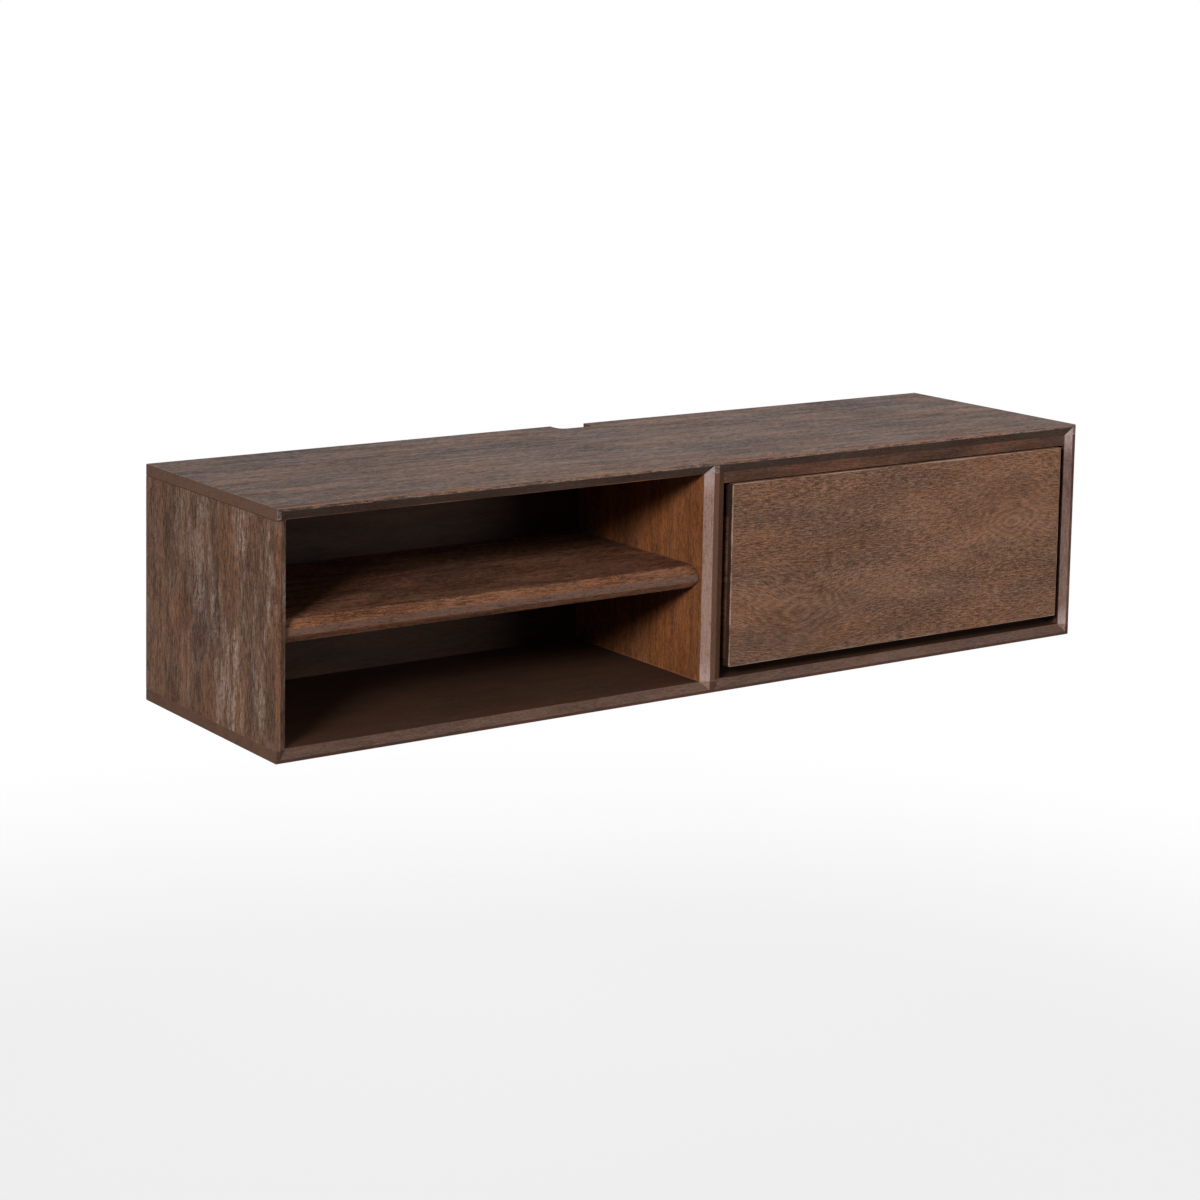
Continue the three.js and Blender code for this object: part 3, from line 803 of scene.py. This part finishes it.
# The carcass boards, each with its slot, stain, grain, place in the tree, and its own face tones, some of
# them painted light and shade
CARCASS_BOARDS = {
    "top_board": ("top_wood", "top_stain", "XYZ", (1.1, 0.35, 0.12), {
        "faces": [
            # Painted shade on the down-facing and right-facing slants, and a painted highlight on the
            # left-facing ones
            ("Z", "slanting", 0.85, PAINTED_UNDER_SHADE), ("-X", "slanting", 0.85, PAINTED_PALE_HIGHLIGHT),
            ("+X", "slanting", 0.85, PAINTED_UNDER_SHADE), ("X", "flat", 0.85, END_TONE)],
        "worn_axes": "X"}),
    "bottom_board": ("frame_wood", "frame_stain", "XYZ", (0.40, 0.11, 0.07), {
        "faces": [
            # Painted shade on the bay's floor, and painted sheen on the up-facing and left-facing bevels
            ("Z", "flat", 0.68, PAINTED_FLOOR_SHADE), ("Z", "slanting", 0.45, PAINTED_GREY_SHEEN),
            ("-X", "slanting", 0.60, PAINTED_PINK_SHEEN), ("Y", "flat", 0.50, RED_BROWN),
            ("X", "flat", 0.85, END_TONE)]}),
    "side_left": ("frame_wood", "side_stain", "ZYX", (0.15, 0.62, 0.31), {
        "faces": [("Y", "flat", 0.45, RIM_TONE)],
        "worn_axes": ""}),
    "side_right": ("frame_wood", "frame_stain", "ZYX", (2.35, 0.24, 0.53), {
        # Painted sheen on the left-facing bevel; the tips add a painted highlight
        "faces": [("-X", "slanting", 0.40, PAINTED_PINK_SHEEN)],
        "tips": (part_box("side_right")[0].z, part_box("side_right")[1].z),
        "worn_axes": ""}),
    "drawer_bay_rail": ("frame_wood", "frame_stain", "XZY", (3.10, 0.42, 0.20), {}),
}
DIVIDER_TONES_AND_PAINTED_LIGHT = {
    "faces": [
        # Painted sheen on the left-facing bevel, painted shade on the right-facing one, and a painted
        # highlight at the tips
        ("-X", "slanting", 0.82, PAINTED_PINK_SHEEN), ("Y", "flat", 0.80, LIP_TONE),
        ("+X", "slanting", 0.85, PAINTED_UNDER_SHADE)],
    "foot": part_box("divider")[0].z,
    "tips": (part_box("divider")[0].z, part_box("divider")[1].z),
}
# Painted sheen on the upper slant of the nose
SHELF_TONES_AND_PAINTED_LIGHT = {"faces": [("Z", "slanting", 0.30, PAINTED_ORANGE_SHEEN), ("Y", "flat", 0.70, NOSE_TONE)]}
DRAWER_EDDIES = [(0.165, -0.140, 0.056, 0.040), (0.612, -0.048, 0.050, -0.030)]
DRAWER_BOX_GRAIN = {
    "drawer_side_left": "YZX", "drawer_side_right": "YZX", "drawer_back": "XZY", "drawer_bottom": "XYZ"}

# Boards that are joined to one another, in the carcass and in the drawer
REAR_RAILS = ["hanging_rail_left", "hanging_rail_right", "lower_rear_rail", "wall_cleat"]
JOINED = [
    "top_board", "bottom_board", "side_left", "side_right", "divider", "back_panel", "shelf",
    "drawer_bay_rail", *REAR_RAILS]
BOX = ["drawer_front", *DRAWER_BOX_GRAIN]


def console_board(node, slot, look, order, spot, body="carcass", worn_axes="XYZ", **tones_and_painted_light):
    """One board of the console, whose arrises stay sharp where others are joined to it."""
    group = BOX if node in BOX else JOINED
    neighbours = [other for other in group if other != node]
    material = wood(f"{node}_wood", look, order, spot, **tones_and_painted_light)
    return dress_board(f"{node}_dressed", node, body, material, neighbours, worn_axes)


# Screws: one row is a head repeated along a line

HEAD_SIDES = 28
HEAD_RINGS = 12
SKIRT_HEIGHT = 0.8
DOME_WIDTH = 1.06
CROSS_LENGTH = 1.15
CROSS_WIDTH = 0.24
RUNNER_SCREWS = 3
RUNNER_INSET = 35 * MILLI
RUNNER_GAUGE = 1.2 * MILLI
BOTTOM_SCREWS = 6
BOTTOM_INSET = 45 * MILLI
CLEAT_SCREWS = 5
CLEAT_INSET = 90 * MILLI
CLEAT_LINE = 0.42
CLEAT_HEAD_RADIUS = 4.5 * MILLI
CLEAT_HEAD_HEIGHT = 2.4 * MILLI


def screw_tree():
    """A Geometry Nodes tree that sets round heads with a cross recess along a line."""
    tree = bpy.data.node_groups.new("Row of screws", "GeometryNodeTree")
    inputs = {
        "Count": "NodeSocketInt", "Start": "NodeSocketVector", "Step": "NodeSocketVector",
        "Turn": "NodeSocketRotation", "Head radius": "NodeSocketFloat", "Head height": "NodeSocketFloat",
        "Finish": "NodeSocketMaterial"}
    tree.interface.new_socket(name="Screws", in_out="OUTPUT", socket_type="NodeSocketGeometry")
    names = {
        name: tree.interface.new_socket(name=name, in_out="INPUT", socket_type=kind).identifier
        for name, kind in inputs.items()}
    sheet = Sheet(tree)
    given = sheet.add("NodeGroupInput").outputs
    radius, height = Signal(sheet, given["Head radius"]), Signal(sheet, given["Head height"])

    skirt = sheet.add("GeometryNodeMeshCylinder", None, {
        "Vertices": HEAD_SIDES, "Radius": radius, "Depth": height * SKIRT_HEIGHT}).outputs["Mesh"]
    skirt = sheet.add("GeometryNodeTransform", None, {
        "Geometry": skirt, "Translation": sheet.vector(0.0, 0.0, height * (SKIRT_HEIGHT / 2))}).outputs[0]
    ball = sheet.add("GeometryNodeMeshUVSphere", None, {
        "Segments": HEAD_SIDES, "Rings": HEAD_RINGS, "Radius": radius * DOME_WIDTH}).outputs["Mesh"]
    ball = sheet.add("GeometryNodeTransform", None, {
        "Geometry": ball, "Scale": sheet.vector(1.0, 1.0, height / (radius * DOME_WIDTH))}).outputs[0]
    dome = sheet.add("GeometryNodeMeshBoolean", {"operation": "INTERSECT", "solver": "EXACT"}).inputs
    head = dome["Mesh 2"].node
    for part in (skirt, ball):
        sheet.tree.links.new(part, head.inputs["Mesh 2"])
    cross = sheet.add("GeometryNodeMeshBoolean", {"operation": "DIFFERENCE", "solver": "EXACT"}, {
        "Mesh 1": head.outputs["Mesh"]})
    for wide, deep in ((CROSS_LENGTH, CROSS_WIDTH), (CROSS_WIDTH, CROSS_LENGTH)):
        slot_box = sheet.add("GeometryNodeMeshCube", None, {
            "Size": sheet.vector(radius * wide, radius * deep, height)}).outputs["Mesh"]
        slot_box = sheet.add("GeometryNodeTransform", None, {
            "Geometry": slot_box, "Translation": sheet.vector(0.0, 0.0, height)}).outputs[0]
        sheet.tree.links.new(slot_box, cross.inputs["Mesh 2"])
    row = sheet.add("GeometryNodeMeshLine", {"mode": "OFFSET"}, {
        "Count": given["Count"], "Start Location": given["Start"], "Offset": given["Step"]}).outputs[0]
    placed = sheet.add("GeometryNodeInstanceOnPoints", None, {
        "Points": row, "Instance": cross.outputs["Mesh"], "Rotation": given["Turn"]}).outputs[0]
    whole = sheet.add("GeometryNodeRealizeInstances", None, {0: placed}).outputs[0]
    done = sheet.add("GeometryNodeSetMaterial", None, {
        "Geometry": whole, "Material": given["Finish"]}).outputs[0]
    sheet.add("NodeGroupOutput", None, {0: done})
    return tree, names


def spaced(low, high, count, inset):
    """The first place and the step of a number of screws, set in from both ends."""
    return low + inset, (high - low - 2 * inset) / (count - 1)


def screw_row(name, body, tree, names, **values):
    """One row of screws as a plain mesh on its body."""
    piece = bpy.data.objects.new(name, bpy.data.meshes.new(name))
    bpy.context.scene.collection.objects.link(piece)
    row = piece.modifiers.new("Row", "NODES")
    row.node_group = tree
    for key, value in values.items():
        row[names[key.replace("_", " ").capitalize()]] = value
    settle(piece)
    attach(piece, body)
    return piece


# Operators: one for each piece or group of like pieces, and one for the stage

class CONSOLE_OT_carcass(bpy.types.Operator):
    """Make the top, the bottom, the sides and the rail above the drawer"""

    bl_idname = "console.carcass"
    bl_label = "Carcass boards"

    def execute(self, context):
        for node, (slot, stain_name, order, spot, tones_and_painted_light) in CARCASS_BOARDS.items():
            console_board(node, slot, getattr(settings(), stain_name), order, spot, **tones_and_painted_light)
        return {"FINISHED"}


class CONSOLE_OT_divider(bpy.types.Operator):
    """Make the divider and the back panel"""

    bl_idname = "console.divider"
    bl_label = "Divider and back panel"

    def execute(self, context):
        console = settings()
        console_board(
            "divider", "inner_wood", console.inner_stain, "ZYX", (0.85, 0.93, 0.44), **DIVIDER_TONES_AND_PAINTED_LIGHT)
        console_board("back_panel", "inner_wood", console.back_stain, "XZY", (1.70, 0.18, 0.66))
        return {"FINISHED"}


class CONSOLE_OT_shelf(bpy.types.Operator):
    """Make the shelf"""

    bl_idname = "console.shelf"
    bl_label = "Shelf"

    def execute(self, context):
        console_board(
            "shelf", "panel_wood", settings().shelf_stain, "XYZ", (4.40, 0.57, 0.29), **SHELF_TONES_AND_PAINTED_LIGHT)
        return {"FINISHED"}


class CONSOLE_OT_rails(bpy.types.Operator):
    """Make the hanging rails, the lower rail and the wall cleat"""

    bl_idname = "console.rails"
    bl_label = "Rails and cleat"

    def execute(self, context):
        for index, node in enumerate(REAR_RAILS):
            spot = (2.0 + index, 0.3 * index, 0.8)
            console_board(node, "plain_wood", settings().plain_wood, "XZY", spot)
        return {"FINISHED"}


class CONSOLE_OT_dowels(bpy.types.Operator):
    """Finish the dowels in the joints"""

    bl_idname = "console.dowels"
    bl_label = "Dowels"

    def execute(self, context):
        console = settings()
        upright = wood("dowel_wood_upright", console.plain_wood, "ZYX", (0.3, 0.2, 0.9))
        level = wood("dowel_wood_level", console.plain_wood, "XYZ", (0.7, 0.5, 0.1))
        for name, node in NODES.items():
            if name.startswith("dowel_"):
                finish_node(node, level if "shelf" in name else upright)
        return {"FINISHED"}


class CONSOLE_OT_drawer_front(bpy.types.Operator):
    """Make the drawer front"""

    bl_idname = "console.drawer_front"
    bl_label = "Drawer front"

    def execute(self, context):
        # ends=0.9 darkens the end faces: mostly painted shade of the narrow gaps beside them, over the end
        # grain's own darkness
        console_board(
            "drawer_front", "panel_wood", settings().panel_stain, "XZY", (5.20, 0.71, 0.37),
            body="drawer", eddies=DRAWER_EDDIES, ends=0.9)
        return {"FINISHED"}


class CONSOLE_OT_drawer_box(bpy.types.Operator):
    """Make the sides, the back and the bottom of the drawer"""

    bl_idname = "console.drawer_box"
    bl_label = "Drawer box"

    def execute(self, context):
        console = settings()
        for index, (node, order) in enumerate(DRAWER_BOX_GRAIN.items()):
            slot, look = "inner_wood", console.frame_stain
            if node == "drawer_bottom":
                slot, look = "plain_wood", console.plain_wood
            spot = (1.3 * index, 0.4 * index, 0.15)
            console_board(node, slot, look, order, spot, body="drawer")
        return {"FINISHED"}


class CONSOLE_OT_runners(bpy.types.Operator):
    """Finish the runners in zinc and black plastic"""

    bl_idname = "console.runners"
    bl_label = "Runners"

    def execute(self, context):
        console = settings()
        plated = zinc("zinc_plating", console.steel, 0.30)
        polished = zinc("cage_steel", tuple(level * 0.9 for level in console.steel), 0.22)
        plastic = moulded("moulded_plastic", console.plastic)
        for name, node in NODES.items():
            if not name.startswith("runner_"):
                continue
            if name.endswith(("buffer", "lever")):
                finish_node(node, plastic)
            else:
                finish_node(node, polished if name.endswith("cage") else plated)
        return {"FINISHED"}


class CONSOLE_OT_screws(bpy.types.Operator):
    """Set the screws of the runners, the drawer bottom and the wall cleat"""

    bl_idname = "console.screws"
    bl_label = "Screws"

    def execute(self, context):
        console = settings()
        sizes = console.sizes
        tree, names = screw_tree()
        plated = zinc("screw_zinc", console.steel, 0.34)
        heads = {"head_radius": sizes.head_radius, "head_height": sizes.head_height, "finish": plated}
        flat_heads = {**heads, "head_height": sizes.flat_head_height}
        cleat_heads = {**heads, "head_radius": CLEAT_HEAD_RADIUS, "head_height": CLEAT_HEAD_HEIGHT}
        for side, hand in (("left", 1), ("right", -1)):
            low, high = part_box(f"runner_{side}_drawer_member")
            fixed_low, fixed_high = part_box(f"runner_{side}_cabinet_member")
            web, fixed_web = (high.x, fixed_low.x) if hand > 0 else (low.x, fixed_high.x)
            middle = (low.z + high.z) / 2
            first, step = spaced(low.y, high.y, RUNNER_SCREWS, RUNNER_INSET)
            screw_row(
                f"screws_{side}_drawer_member", "drawer", tree, names, count=RUNNER_SCREWS,
                start=(web - hand * RUNNER_GAUGE, first, middle), step=(0.0, step, 0.0),
                turn=(0.0, -hand * math.pi / 2, 0.0), **heads)
            screw_row(
                f"screws_{side}_cabinet_member", "carcass", tree, names, count=RUNNER_SCREWS,
                start=(fixed_web + hand * RUNNER_GAUGE, first, middle), step=(0.0, step, 0.0),
                turn=(0.0, hand * math.pi / 2, 0.0), **flat_heads)
        low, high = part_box("drawer_back")
        first, step = spaced(low.x, high.x, BOTTOM_SCREWS, BOTTOM_INSET)
        screw_row(
            "screws_drawer_bottom", "drawer", tree, names, count=BOTTOM_SCREWS,
            start=(first, (low.y + high.y) / 2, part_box("drawer_bottom")[0].z), step=(step, 0.0, 0.0),
            turn=(math.pi, 0.0, 0.0), **heads)
        low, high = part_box("wall_cleat")
        first, step = spaced(low.x, high.x, CLEAT_SCREWS, CLEAT_INSET)
        screw_row(
            "screws_wall_cleat", "carcass", tree, names, count=CLEAT_SCREWS,
            start=(first, low.y, low.z + (high.z - low.z) * CLEAT_LINE), step=(step, 0.0, 0.0),
            turn=(math.pi / 2, 0.0, 0.0), **cleat_heads)
        return {"FINISHED"}


# Stage

# The camera: metres, degrees, and its lens in pixels of the photograph
CAMERA_PLACE = (-2.5221, -3.6394, 0.8148)
CAMERA_TURN = {"round": 34.849, "down": 6.566, "roll": 1.036}
SENSOR = 36.0
PHOTO_SIDE = 1200
FOCAL_PIXELS = 2763.13
AXIS_COLUMN, AXIS_ROW = 575, 300
NEAREST, FARTHEST = 0.05, 60.0

# The floor: metres, its grey, how white it shows and where it fades away
FLOOR_RADIUS = 9.0
FLOOR_SIDES = 96
FLOOR_GREY = (0.35, 0.35, 0.35)
FLOOR_WHITE = 0.80
FLOOR_FADE = (1.1, 2.8)
FLOOR_GRAIN = (60.0, 60.0, 60.0)
FLOOR_ROUGHNESS = 0.88
WHITE = (1.0, 1.0, 1.0)


def camera():
    """The camera at the photograph's angle, looking a little down."""
    data = bpy.data.cameras.new("Camera")
    data.sensor_width = SENSOR
    data.lens = FOCAL_PIXELS * SENSOR / PHOTO_SIDE
    data.shift_x = (PHOTO_SIDE / 2 - AXIS_COLUMN) / PHOTO_SIDE
    data.shift_y = (AXIS_ROW - PHOTO_SIDE / 2) / PHOTO_SIDE
    data.clip_start, data.clip_end = NEAREST, FARTHEST
    round_, down, roll = (math.radians(angle) for angle in CAMERA_TURN.values())
    forward = Vector(
        (math.sin(round_) * math.cos(down), math.cos(round_) * math.cos(down), -math.sin(down)))
    level = Vector((math.cos(round_), -math.sin(round_), 0.0))
    upright = level.cross(forward)
    right = level * math.cos(roll) + upright * math.sin(roll)
    up = upright * math.cos(roll) - level * math.sin(roll)
    turn = Matrix((right, up, -forward)).transposed()
    eye = bpy.data.objects.new("Camera", data)
    eye.matrix_world = Matrix.Translation(CAMERA_PLACE) @ turn.to_4x4()
    bpy.context.scene.collection.objects.link(eye)
    bpy.context.scene.camera = eye


def lamp(name, power, size, place, target, shade):
    """A soft lamp that the camera doesn't see."""
    data = bpy.data.lights.new(name, "AREA")
    data.shape = "RECTANGLE"
    data.size, data.size_y = size
    data.energy = power
    data.color = shade
    lit = bpy.data.objects.new(name, data)
    lit.visible_camera = False
    lit.location = place
    lit.rotation_euler = (Vector(target) - Vector(place)).to_track_quat("-Z", "Y").to_euler()
    bpy.context.scene.collection.objects.link(lit)


def seen_directly(sheet):
    """1 for rays from the camera, in gloss and through glass, and 0 for the light on things."""
    path = sheet.add("ShaderNodeLightPath")
    rays = [Signal(sheet, path.outputs[f"Is {kind} Ray"]) for kind in ("Camera", "Glossy", "Transmission")]
    return rays[0].maths("MAXIMUM", rays[1]).maths("MAXIMUM", rays[2])


def world(room):
    """A room that looks white, and gives only a little light of its own."""
    surroundings = bpy.data.worlds.new("White room")
    bpy.context.scene.world = surroundings
    surroundings.use_nodes = True
    sheet = Sheet(surroundings.node_tree)
    strength = seen_directly(sheet).lifted(room)
    light = sheet.add("ShaderNodeBackground", None, {"Color": WHITE, "Strength": strength})
    sheet.add("ShaderNodeOutputWorld", None, {"Surface": light.outputs[0]})


def floor(height):
    """A pale floor that fades into the white room, and isn't seen from below."""
    bpy.ops.mesh.primitive_circle_add(
        vertices=FLOOR_SIDES, radius=FLOOR_RADIUS, fill_type="NGON", location=(0, 0, height))
    ground = bpy.context.object
    ground.name = "floor"
    ground.data.transform(ground.matrix_world)
    ground.matrix_world = Matrix.Identity(4)
    material, sheet, shader = new_material("pale_floor", base_color=FLOOR_GREY)
    place = sheet.add("ShaderNodeTexCoord").outputs["Object"]
    x, y, _ = sheet.parts(place)
    far = (x * x + y * y).maths("SQRT")
    grain = sheet.noise(sheet.scaled(place, FLOOR_GRAIN))
    sheet.plug(shader.inputs["Roughness"], (grain - 0.5) * 0.1 + FLOOR_ROUGHNESS)
    white = sheet.add("ShaderNodeEmission", None, {"Color": WHITE, "Strength": 1.0})
    clear = sheet.add("ShaderNodeBsdfTransparent")
    behind = Signal(sheet, sheet.add("ShaderNodeNewGeometry").outputs["Backfacing"])
    bright = sheet.add("ShaderNodeMixShader", None, {
        0: seen_directly(sheet) * FLOOR_WHITE, 1: shader.outputs[0], 2: white.outputs[0]})
    faded = sheet.add("ShaderNodeMixShader", None, {
        0: far.between(*FLOOR_FADE).maths("MAXIMUM", behind), 1: bright.outputs[0], 2: clear.outputs[0]})
    output = next(node for node in sheet.tree.nodes if node.type == "OUTPUT_MATERIAL")
    sheet.plug(output.inputs["Surface"], faded.outputs[0])
    ground.data.materials.append(material)


# Each lamp's size, its place, what it looks at and the shade of its light
LAMPS = {
    "key": ((1.2, 0.84), (-4.0, -2.81, 1.76), (-0.3, -0.3, 0.0), (1.0, 0.97, 0.94)),
    "fill": ((0.83, 0.33), (0.84, -1.8, -0.03), (0.0, -0.3, 0.0), (0.96, 0.98, 1.0)),
    "top": ((2.4, 1.6), CENTRE + Vector((0.75, 0.25, 2.0)), CENTRE, (0.97, 0.97, 1.0)),
    "rear": ((2.0, 0.6), CENTRE + Vector((1.406485, 2.645213, -0.157008)), CENTRE, (0.98, 0.99, 1.0)),
}


class CONSOLE_OT_stage(bpy.types.Operator):
    """Set the floor, the lamps and the camera"""

    bl_idname = "console.stage"
    bl_label = "Stage"

    def execute(self, context):
        console = settings()
        camera()
        world(console.lights.room)
        floor(cad_box[0].z - console.sizes.floor_drop)
        for name, (size, place, target, shade) in LAMPS.items():
            lamp(name.capitalize(), getattr(console.lights, name), size, place, target, shade)
        context.scene.view_settings.view_transform = "Standard"
        return {"FINISHED"}


PIECES = (
    CONSOLE_OT_carcass, CONSOLE_OT_divider, CONSOLE_OT_shelf, CONSOLE_OT_rails,
    CONSOLE_OT_dowels, CONSOLE_OT_drawer_front, CONSOLE_OT_drawer_box, CONSOLE_OT_runners,
    CONSOLE_OT_screws, CONSOLE_OT_stage)


class CONSOLE_PT_panel(bpy.types.Panel):
    """Lists the console's pieces and settings."""

    bl_idname = "CONSOLE_PT_panel"
    bl_label = "Wall-hung media console"
    bl_space_type = "VIEW_3D"
    bl_region_type = "UI"
    bl_category = "Console"

    def draw(self, context):
        for piece in PIECES:
            self.layout.operator(piece.bl_idname)
        for group in ConsoleSettings.__annotations__:
            chosen = getattr(settings(), group)
            if not isinstance(chosen, bpy.types.PropertyGroup):
                self.layout.prop(settings(), group)
                continue
            box = self.layout.box()
            box.label(text=group.replace("_", " ").capitalize())
            for name in chosen.__annotations__:
                box.prop(chosen, name)


CLASSES = (
    TopStain, FrameStain, SideStain, InnerStain, ShelfStain, BackStain, PanelStain, PlainWood,
    ConsoleSizes, ConsoleLights, ConsoleSettings, *PIECES, CONSOLE_PT_panel)


def register():
    for item in CLASSES:
        bpy.utils.register_class(item)
    bpy.types.Scene.console = bpy.props.PointerProperty(type=ConsoleSettings)


def unregister():
    del bpy.types.Scene.console
    for item in reversed(CLASSES):
        bpy.utils.unregister_class(item)


def main():
    """Registers the classes, makes every piece and writes the sizes."""
    register()
    for piece in PIECES:
        group, name = piece.bl_idname.split(".")
        getattr(getattr(bpy.ops, group), name)()


if __name__ == "__main__":
    main()
